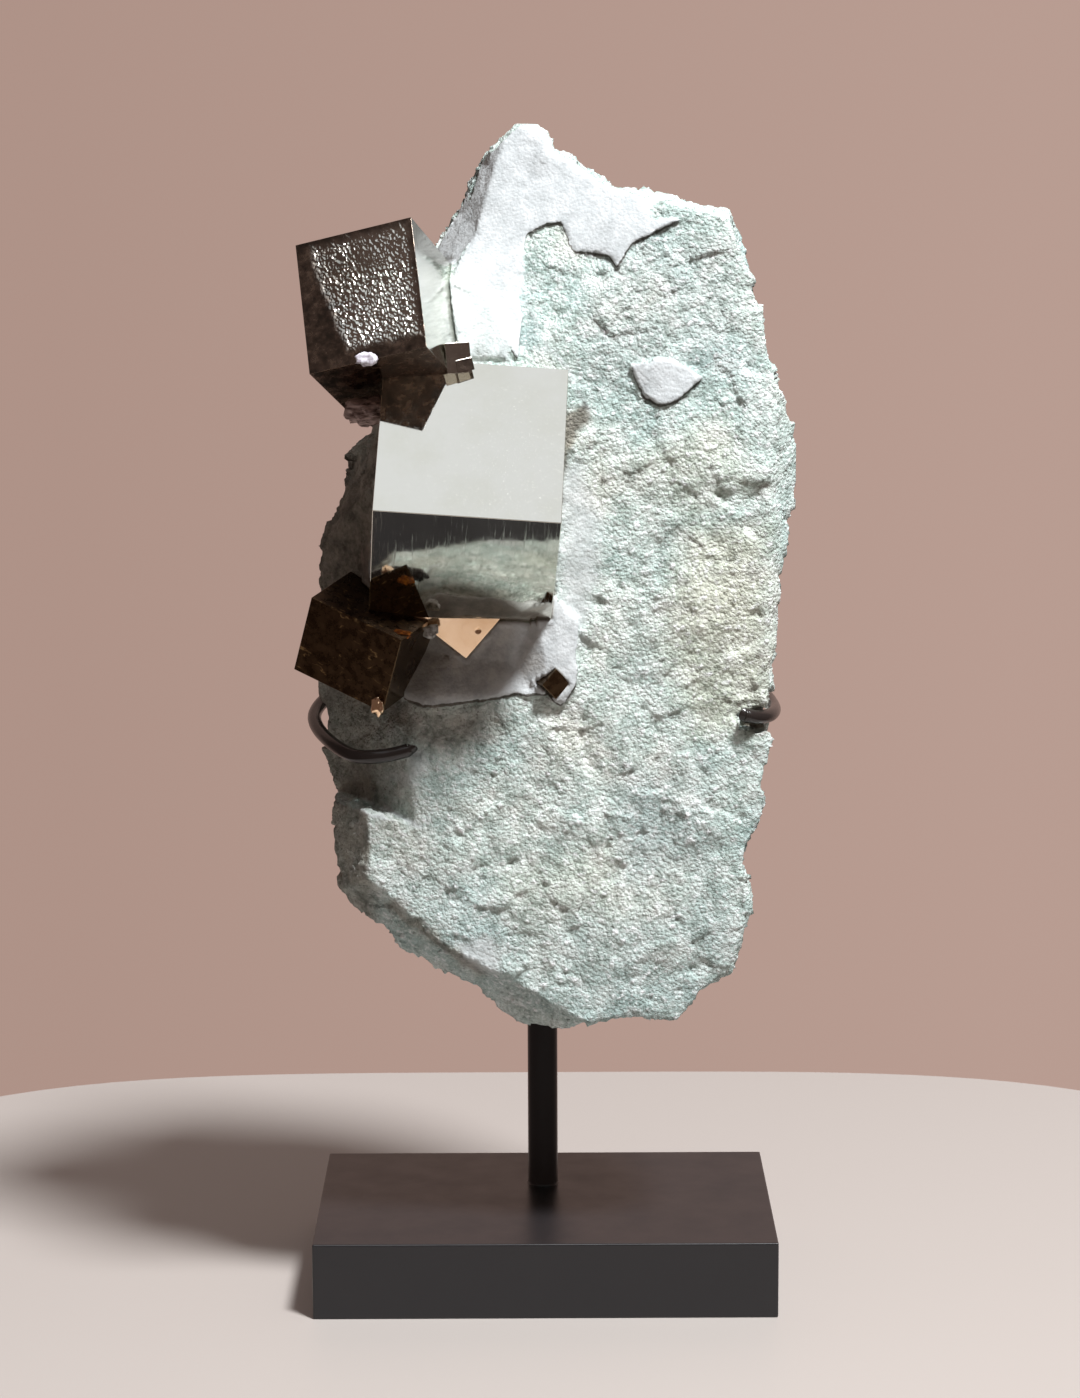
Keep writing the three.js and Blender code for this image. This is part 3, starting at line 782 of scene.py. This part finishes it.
# Each zone: outline, softness of its edge in millimetres, strength.
ZONES = {
    "white": [
        ([(-24, 286), (-5, 286), (-4.5, 268), (-7, 249), (-8, 246), (-30, 246)], 1.0, 0.9),
        # Right of the large crystal: a whiter patch of rock, and painted light that the crystal's right
        # face mirrors onto the rock there.
        ([(4.4, 221), (9, 222), (14.7, 206), (13, 190), (9, 176), (4.4, 176)], 3.0, 0.9),
        ([(-22.7, 99.8), (-14, 101), (-11, 95), (-13, 90), (-20, 91)], 1.5, 0.8),
        ([(-34.1, 148.3), (-31.3, 149.6), (-29.7, 146), (-30, 142), (-33.4, 139.5), (-41.3, 139.7),
          (-38.1, 142.1), (-34.4, 143)], 1.2, 0.6),
    ],
    "brown": [
        # Left, above the ledge: brown rock, and painted shade where the lower left crystal and the left
        # prong shadow it.
        ([(-58, 172), (-44, 172), (-42, 160), (-36, 150), (-38, 143), (-43, 136), (-58, 134)], 4.0, 0.6),
        # Below the layer under the large crystal: painted cast shadow of the crystals over some brown
        # stain.
        ([(-40, 158), (-28, 160), (-11, 159), (-6, 154), (-12, 150), (-28, 149)], 4.0, 0.6),
        # The layer right under the large crystal: painted shadow that the crystal casts on it.
        ([(-42, 184), (-7.5, 184), (-7.5, 170), (-12, 163), (-24, 161), (-44, 159)], 3.0, 0.6),
        ([(5.4, 219.4), (5.4, 233), (9.7, 235), (11.4, 232.8), (11.4, 231), (10.2, 229),
          (7.7, 225)], 0.6, 0.9),
        # The filed notch under the right prong: painted shade inside the notch.
        ([(49.5, 158), (57.5, 158), (58.5, 153), (50, 153.6)], 0.4, 1.0),
        ([(-40.5, 109), (-38, 110.5), (-15, 91), (-16.5, 88)], 1.5, 0.7),
        ([(-55, 131), (-44.5, 131), (-44.5, 112), (-55, 112)], 2.0, 0.5),
    ],
    "grey": [
        ([(-3.4, 257.5), (-4.9, 252.6), (-7.4, 249), (1.7, 248.5), (-0.2, 253.3)], 0.3, 0.8),
        ([(-44, 160), (-36, 161), (-35, 151), (-43, 150)], 2.0, 0.6),
        ([(-14, 92.5), (-9.6, 91.3), (3, 83), (3.6, 79.3), (-1.4, 78.6), (-11.4, 83.7),
          (-15.3, 89.3)], 0.7, 0.8),
        ([(17.3, 146), (40, 144), (44, 118), (20, 112)], 6.0, 0.7),
        ([(-60, 118), (60, 108), (60, 60), (-60, 60)], 8.0, 0.5),
        ([(8, 262), (20, 282), (46, 276), (50, 242), (22, 240), (12, 238)], 5.0, 0.6),
    ],
    "yellow": [
        ([(36, 205), (56, 205), (57, 155), (38, 152), (30, 178)], 6.0, 1.0),
        ([(22, 222), (44, 232), (54, 214), (36, 206)], 5.0, 0.6),
        ([(-14, 118), (16, 124), (20, 106), (-6, 102)], 5.0, 0.5),
    ],
    "speckled": [
        ([(-30, 310), (-14, 306), (-12, 290), (-17, 276), (-30, 276)], 2.0, 1.0),
    ],
}


def signed_distance(x, z, outline):
    """Distance to an outline in millimetres, positive inside it."""
    nearest = np.full(x.shape, 1e9)
    inside = np.zeros(x.shape, bool)
    for (ax, az), (bx, bz) in zip(outline, outline[1:] + outline[:1]):
        run_x, run_z = bx - ax, bz - az
        t = np.clip(((x - ax) * run_x + (z - az) * run_z) / (run_x ** 2 + run_z ** 2), 0, 1)
        nearest = np.minimum(nearest, np.hypot(x - ax - t * run_x, z - az - t * run_z))
        crossing = (az > z) != (bz > z)
        inside ^= crossing & (x < ax + (z - az) * run_x / (bz - az if bz != az else 1e-9))
    return np.where(inside, nearest, -nearest)


def line_distance(x, z, line):
    """Distance to an open line in millimetres."""
    nearest = np.full(x.shape, 1e9)
    for (ax, az), (bx, bz) in zip(line, line[1:]):
        run_x, run_z = bx - ax, bz - az
        t = np.clip(((x - ax) * run_x + (z - az) * run_z) / (run_x ** 2 + run_z ** 2), 0, 1)
        nearest = np.minimum(nearest, np.hypot(x - ax - t * run_x, z - az - t * run_z))
    return nearest


wobble = np.array([noise.noise_vector(Vector(spot) / 4) for spot in spots])
x, z = spots[:, 0], spots[:, 2]
uneven_x, uneven_z = x + 1.6 * wobble[:, 0], z + 1.6 * wobble[:, 1]
front_share = smooth_step(-normals[:, 1], 0.1, 0.45)

marks = {}
for zone, outlines in ZONES.items():
    marks[zone] = np.zeros(len(spots))
    for outline, softness, strength in outlines:
        reach = signed_distance(uneven_x, uneven_z, outline)
        marks[zone] = np.maximum(marks[zone], strength * smooth_step(reach, -softness, softness))
    if zone != "speckled":
        marks[zone] *= front_share
# Both pale lines go into the white mark: the first is painted light, the ledge's is partly painted
# highlight.
for line, half_width, strength in ((REFLECTED_LIGHT_EDGE, 0.3, 0.6), (LEDGE_LINE, 0.4, 0.9)):
    reach = line_distance(x + 0.4 * wobble[:, 0], z + 0.4 * wobble[:, 1], line)
    pale = strength * smooth_step(reach, half_width + 0.5, half_width)
    marks["white"] = np.maximum(marks["white"], pale * front_share)

layer_here = np.max([signed_distance(x, z, outline) for outline in LAYER_OUTLINES], axis=0)
# layer_above is each layer's outline looked up 0.75 mm higher. Just under a layer's lower edge it turns
# positive, and the marl gets a thin dark line of painted shadow there.
layer_above = np.max([signed_distance(x, z + 0.75, outline) for outline in LAYER_OUTLINES], axis=0)
marks["layer"] = np.where(front_share > 0.5, np.clip(layer_here, -3, 3), -3)
marks["layer_above"] = np.where(front_share > 0.5, np.clip(layer_above, -3, 3), -3)
# The rock's left-facing sides turn brown, and so does the rock behind the crystals. This is partly brown
# stain and partly painted shade: the sides face away from the key light and lie in the crystals' shadow.
left_side_shade_and_stain = smooth_step(-normals[:, 0], 0.2, 0.6) * smooth_step(245 - z, 0, 40)
left_side_shade_and_stain *= np.maximum(smooth_step(z, 160, 170), 0.75 * smooth_step(-40 - x, 0, 5))
marks["brown"] = np.maximum(marks["brown"], 0.95 * left_side_shade_and_stain)
facet_reach = signed_distance(x, z, ZONES["white"][0][0])
beside_layer = smooth_step(-marks["layer"], -0.2, 0.2)
flush = LAYER_THICKNESS * smooth_step(facet_reach, 0, 1.5) * beside_layer * front_share
smoothness = np.maximum(marks["white"], smooth_step(marks["layer"], -0.2, 0.4))
marks["layer_above"] = np.minimum(marks["layer_above"], 3 - 6 * marks["white"])
print("zones cover", {name: round(float(values.mean()), 3) for name, values in marks.items()})

# %% [markdown]
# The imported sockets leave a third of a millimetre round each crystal. Here the rock is pushed
# back over that gap: where a crystal is closer than a millimetre, the rock moves outward. Beside
# the lower left crystal, it is hollowed instead, because that crystal's right face lies open.
# Close to a wire it sinks a little, so that the wire lies on it.

# %% Lumps, grains and pits
SOCKET_CLOSING = 0.5
CRYSTAL_REACH = 1.0
WIRE_REACH = 2.2
WIRE_CLEARANCE = 0.6
HOLLOW_DEPTH = 5.0
HOLLOW_REACH = 9.0
BEDDING_DROP = 8.5
BEDDING_MIDDLE = 15
BEDDING_WIDTH = 20
LUMP_WIDTH = 11
LUMP_HEIGHT = 0.45
CHIP_WIDTH = 9
SMALL_CHIP_WIDTH = 3.6
CRUMB_WIDTH = 1.2
CRUMB_HEIGHT = 0.52
SUGAR_WIDTH = 0.95
SUGAR_HEIGHT = 0.18
HOLE_WIDTH = 3.3
HOLE_DEPTH = 2.0

crystal_trees = {}
for name in ("pyrite_cluster", "pyrite_lower_left", "pyrite_small"):
    source = nodes[name].data
    crystal_trees[name] = bvhtree.BVHTree.FromPolygons(
        [v.co / MM for v in source.vertices], [p.vertices for p in source.polygons])


wire_trees = [bvhtree.BVHTree.FromPolygons([v.co / MM for v in nodes[name].data.vertices],
                                           [p.vertices for p in nodes[name].data.polygons])
              for name in ("left_prong", "right_prong")]


def near_wire(spot):
    return any(tree.find_nearest(spot, WIRE_REACH)[0] is not None for tree in wire_trees)


def near_crystal(spot):
    return any(tree.find_nearest(spot, CRYSTAL_REACH)[0] is not None for tree in crystal_trees.values())


def hollow(spot):
    """How far the rock is pushed back beside the lower left crystal."""
    if not (-43 < spot.x < -20 and 155 < spot.z < 184 and spot.y < -20):
        return 0.0
    distance = crystal_trees["pyrite_lower_left"].find_nearest(spot, HOLLOW_REACH)[3]
    if distance is None:
        return 0.0
    share = 1 - distance / HOLLOW_REACH
    return HOLLOW_DEPTH * share * share * (3 - 2 * share)


def chips(spot, width, seed):
    """Broken facets: each cell of a Voronoi pattern is a small plane with its own tilt."""
    scaled = spot / width + Vector((seed, 2 * seed, 0))
    middle = noise.voronoi(scaled)[1][0]
    return width * (scaled - middle).dot(noise.noise_vector(middle * 3.7))


def rock_rise(spot, side):
    """The skin's outward move in millimetres: the coarse part and the fine part.

    side is 0 on the front and 1 elsewhere, where the rock broke more coarsely. The crumbs lie in
    beds that arch over the slab's width.
    """
    arch = math.log(math.cosh((spot.x - BEDDING_MIDDLE) / BEDDING_WIDTH))
    drop = BEDDING_DROP * arch - 0.025 * spot.x
    bedded = Vector((spot.x / 1.5, spot.y / 1.2, spot.z - drop))
    lumps = noise.fractal(spot / LUMP_WIDTH, 0.8, 2.1, 3)
    reach, cells = noise.voronoi(bedded / CRUMB_WIDTH)
    tall = max(0.0, 0.4 + 0.9 * noise.noise(cells[0] * 5.3))
    crumb = max(0.0, 1 - (reach[0] / 0.6) ** 2) * tall
    sugar = noise.fractal(bedded / SUGAR_WIDTH, 0.6, 2.2, 2)
    holes = max(0.0, noise.noise(spot / HOLE_WIDTH + Vector((31, 5, 2))) - 0.45)
    coarse = (LUMP_HEIGHT * lumps + (0.12 + 0.3 * side) * chips(spot, CHIP_WIDTH, 3)
              + (0.12 + 0.28 * side) * chips(spot, SMALL_CHIP_WIDTH, 8))
    return coarse - HOLE_DEPTH * holes, CRUMB_HEIGHT * crumb + SUGAR_HEIGHT * sugar


rises = np.empty(len(spots))
grain = np.empty(len(spots))
back = np.zeros(len(spots))
for k in range(len(spots)):
    spot = Vector(spots[k])
    coarse, fine = rock_rise(spot, 1.0 - front_share[k])
    grain[k] = 0.3 + 0.7 * fine
    back[k] = hollow(spot)
    if near_crystal(spot):
        rises[k] = SOCKET_CLOSING if back[k] == 0 else 0.0
    elif near_wire(spot):
        rises[k] = 0.3 * fine - WIRE_CLEARANCE
    else:
        rises[k] = (coarse + fine) * (1 - 0.75 * smoothness[k])
moved = spots + normals * rises[:, None]
moved[:, 1] += back - flush
box_low, box_high = (np.array(corner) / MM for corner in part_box("matrix"))
moved = np.clip(moved, box_low, box_high)
rock_mesh.vertices.foreach_set("co", (moved * MM).ravel())
soften(rock_mesh, *SEAM_IN_WHITE_FACET, 14)
marks["grain"] = grain
for name, values in marks.items():
    rock_mesh.attributes.new(name, "FLOAT", "POINT").data.foreach_set("value", values)
rock_mesh.update()
print("skin moved by", round(rises.min(), 2), "to", round(rises.max(), 2), "mm")
print("mean grain", round(grain.mean(), 2))

# %% [markdown]
# The rock's colour is laid on in coats: first the broad drift from blue-grey to warm grey, then
# the zones, then the grain, which is darkened in its hollows as painted shade over the darker clay
# there and is white on the tips of the crumbs, and last the smooth white layers with a thin dark
# line of painted shadow under their edges.

# %% Marl
def marl():
    material, tree, surface = new_material("rough_marl")
    place = place_in_mm(tree)
    drift = cloud(tree, place, 22, detail=5.0)
    mottle = cloud(tree, place, 4.0, detail=5.0, roughness=0.65)
    grains = cloud(tree, place, 1.0, roughness=0.7)
    dust = cloud(tree, place, 0.42, detail=2.0)
    tip = mark(tree, "grain")
    colour = ramp(tree, drift, [(0.32, "#a2b8b4"), (0.46, "#b7c8c2"), (0.58, "#c5d1ca"), (0.7, "#d0d4ca")])
    colour = layer(tree, colour, "#d6d4bc", maths(tree, "MULTIPLY", mark(tree, "yellow"), 0.5))
    colour = layer(tree, colour, "#98a6a6", maths(tree, "MULTIPLY", mark(tree, "grey"), 0.6))
    patches = ramp(tree, mottle, [(0.35, "#a8aea8"), (0.55, "#ffffff")])
    colour = layer(tree, colour, patches, 0.55, "MULTIPLY")
    colour = layer(tree, colour, "#eef2f1", spread(tree, cloud(tree, place, 5.5), 0.48, 0.66, 0.0, 0.28))
    # The hollows of the fine relief are darkened: painted shade, over the darker clay between the grains.
    colour = layer(tree, colour, "#5d655f", spread(tree, tip, 0.26, 0.12, 0.0, 0.75))
    crumb = maths(tree, "MULTIPLY", spread(tree, tip, 0.38, 0.6),
                  spread(tree, mark(tree, "brown"), 0.0, 1.0, 0.9, 0.25))
    colour = layer(tree, colour, "#eceff0", crumb)
    # The low spots of the grain noise, which also sink the bump, are darkened: painted shade in the bump's
    # hollows over dark specks of clay.
    colour = layer(tree, colour, "#575a52", maths(
        tree, "MULTIPLY", spread(tree, grains, 0.42, 0.34), 0.6))
    colour = layer(tree, colour, "#f1f3f3", spread(tree, grains, 0.54, 0.64, 0.0, 0.42))
    colour = layer(tree, colour, "#3d3a35", maths(
        tree, "MULTIPLY", mark(tree, "speckled"), spread(tree, grains, 0.50, 0.54, 0.0, 0.9)))
    white = ramp(tree, mottle, [(0.3, "#aeb4b5"), (0.6, "#c3c8c9")])
    colour = layer(tree, colour, white, maths(tree, "MULTIPLY", mark(tree, "white"), 0.85))
    uneven = maths(tree, "MULTIPLY", maths(tree, "SUBTRACT", mottle, 0.5), 1.2)
    over = spread(tree, maths(tree, "ADD", mark(tree, "layer"), uneven), -0.08, 0.08)
    above = spread(tree, maths(tree, "ADD", mark(tree, "layer_above"), uneven), -0.15, 0.15, 0.0, 0.85)
    # A thin dark line of painted shadow just under each layer's lower edge.
    colour = layer(tree, colour, "#3d332b", above)
    colour = layer(tree, colour, white, over)
    # The brown coat goes on last. Where the brown mark stands for shade and cast shadow, this coat is
    # painted shade.
    brown = ramp(tree, mottle, [(0.35, "#52483c"), (0.65, "#8b8172")])
    colour = layer(tree, colour, brown, maths(tree, "MULTIPLY", mark(tree, "brown"), 0.9))
    bead = add_node(tree, "ShaderNodeTexVoronoi", Vector=place, Scale=1 / 0.95).outputs["Distance"]
    dome = spread(tree, maths(tree, "MULTIPLY", bead, bead), 0.42, 0.0, 0.0, 0.22)
    height = maths(tree, "ADD", maths(tree, "ADD", maths(tree, "MULTIPLY", grains, 0.42), dome),
                   maths(tree, "MULTIPLY", dust, 0.3))
    strength = spread(tree, maths(tree, "MAXIMUM", over, mark(tree, "white")), 0.0, 1.0, 1.0, 0.3)
    bump = add_node(tree, "ShaderNodeBump", Height=height, Strength=strength, Distance=1 * MM)
    plug(tree, colour, surface.inputs["Base Color"])
    plug(tree, bump.outputs["Normal"], surface.inputs["Normal"])
    surface.inputs["Roughness"].default_value = 0.9
    surface.inputs["Specular IOR Level"].default_value = 0.3
    return material


rock_mesh.shade_smooth()
rock = finish_piece("rock", rock_mesh, marl(), ["matrix"])
bpy.data.objects.remove(rock_object)
triangles = len(rock_mesh.polygons) * 2
if triangles > MOST_TRIANGLES:
    thinner = rock.modifiers.new("fewer_faces", "DECIMATE")
    thinner.ratio = MOST_TRIANGLES / triangles
    depsgraph = bpy.context.evaluated_depsgraph_get()
    thin_mesh = bpy.data.meshes.new_from_object(rock.evaluated_get(depsgraph))
    rock.modifiers.clear()
    rock.data = thin_mesh
    print("thinned from", triangles, "to", len(thin_mesh.polygons), "triangles")

# %% [markdown]
# The stage isn't part of the object. A pale table top, an oval with flat sides, ends a little
# behind the block, and a warm wall stands far behind it. The wall isn't lit but glows, and its
# glow is painted light, darker at the left and paler at the right. The table stops short at the
# sides, because the crystals mirror what lies there, and that has to be dark.

# %% Table top and wall
TABLE_HALF_WIDTH = 235
TABLE_HALF_DEPTH = 310
TABLE_MIDDLE_Y = -115
TABLE_THICKNESS = 24
TABLE_SIDES = 160
WALL_Y = 1700
WALL_SHADED_END = "#ad9186"
WALL_LIT_END = "#b79b90"


def stage_object(name, mesh, material):
    thing = bpy.data.objects.new(name, mesh)
    bpy.context.collection.objects.link(thing)
    mesh.materials.append(material)
    return thing


def oval(turn):
    """A point of the table's edge: a square-cornered oval of the fourth power."""
    c, s = math.cos(turn), math.sin(turn)
    reach = (c ** 4 + s ** 4) ** -0.25
    return TABLE_HALF_WIDTH * reach * c, TABLE_MIDDLE_Y + TABLE_HALF_DEPTH * reach * s


table_builder = bmesh.new()
rings = []
for height, inset in ((-TABLE_THICKNESS, 2.0), (-2.0, 0.0), (-0.6, 0.6), (0.0, 2.0)):
    scale = 1 - inset / TABLE_HALF_WIDTH
    ring = []
    for k in range(TABLE_SIDES):
        px, py = oval(2 * math.pi * k / TABLE_SIDES)
        ring.append(table_builder.verts.new(
            point(px * scale, (py - TABLE_MIDDLE_Y) * scale + TABLE_MIDDLE_Y, height)))
    rings.append(ring)
for below, above in zip(rings, rings[1:]):
    for k in range(TABLE_SIDES):
        n = (k + 1) % TABLE_SIDES
        table_builder.faces.new([below[k], below[n], above[n], above[k]])
table_builder.faces.new(rings[-1])
table_builder.faces.new(rings[0][::-1])
table_mesh = bpy.data.meshes.new("table")
table_builder.to_mesh(table_mesh)
table_builder.free()
pale_stone, tree, surface = new_material("pale_stone")
surface.inputs["Base Color"].default_value = linear("#a59f9a")
surface.inputs["Roughness"].default_value = 0.5
stage_object("table_top", table_mesh, pale_stone)

glowing_wall, tree, surface = new_material("glowing_wall")
# The wall glows by emission instead of being lit. The glow is painted light, darker at the left and paler
# at the right.
sideways = add_node(tree, "ShaderNodeSeparateXYZ", Vector=place_in_mm(tree)).outputs["X"]
shade = ramp(tree, spread(tree, sideways, -350, 350), [(0.0, WALL_SHADED_END), (1.0, WALL_LIT_END)])
surface.inputs["Base Color"].default_value = linear("#000000")
surface.inputs["Roughness"].default_value = 1.0
plug(tree, shade, surface.inputs["Emission Color"])
surface.inputs["Emission Strength"].default_value = 1.0
WALL_OUTLINE = ((-2500, -1500), (2500, -1500), (2500, 2500), (-2500, 2500))
wall_corners = [point(across, WALL_Y, up) for across, up in WALL_OUTLINE]
wall_mesh = bpy.data.meshes.new("wall")
wall_mesh.from_pydata(wall_corners, [], [(0, 1, 2, 3)])
stage_object("wall", wall_mesh, glowing_wall)

# %% [markdown]
# Two lamps light it. The key is a small round one, high above the camera and a little to the
# right, so that every grain has a shadow and the large cube throws one down to its left. A large
# dim softbox overhead is there for the mirror faces: it whitens the large cube's upper face. The
# rest of the room is nearly dark, and the faces that look into it stay brown.

# %% Lights
def lamp(name, shape, place, aim, size, power, colour):
    light = bpy.data.lights.new(name, "AREA")
    light.shape = shape
    light.size = size * MM
    light.energy = power
    light.color = linear(colour)[:3]
    holder = bpy.data.objects.new(name, light)
    holder.location = point(*place)
    direction = point(*aim) - holder.location
    holder.rotation_euler = direction.to_track_quat("-Z", "Y").to_euler()
    bpy.context.collection.objects.link(holder)
    return holder


lamp("key", "DISK", (502, -654, 1585), (0, -40, 190), 300, 60, "#fdfdff")
lamp("overhead_softbox", "SQUARE", (70, -330, 1300), (-18, -55, 225), 1150, 3.6, "#ecf5fc")

world = bpy.data.worlds.new("room")
bpy.context.scene.world = world
world.use_nodes = True
room = world.node_tree
ROOM_SHARE = 0.25
seen = add_node(room, "ShaderNodeLightPath").outputs["Is Camera Ray"]
dark_room = tuple(c * ROOM_SHARE for c in linear(WALL_LIT_END))
plug(room, layer(room, dark_room, WALL_LIT_END, seen), room.nodes["Background"].inputs["Color"])
bpy.context.scene.view_settings.view_transform = "Standard"
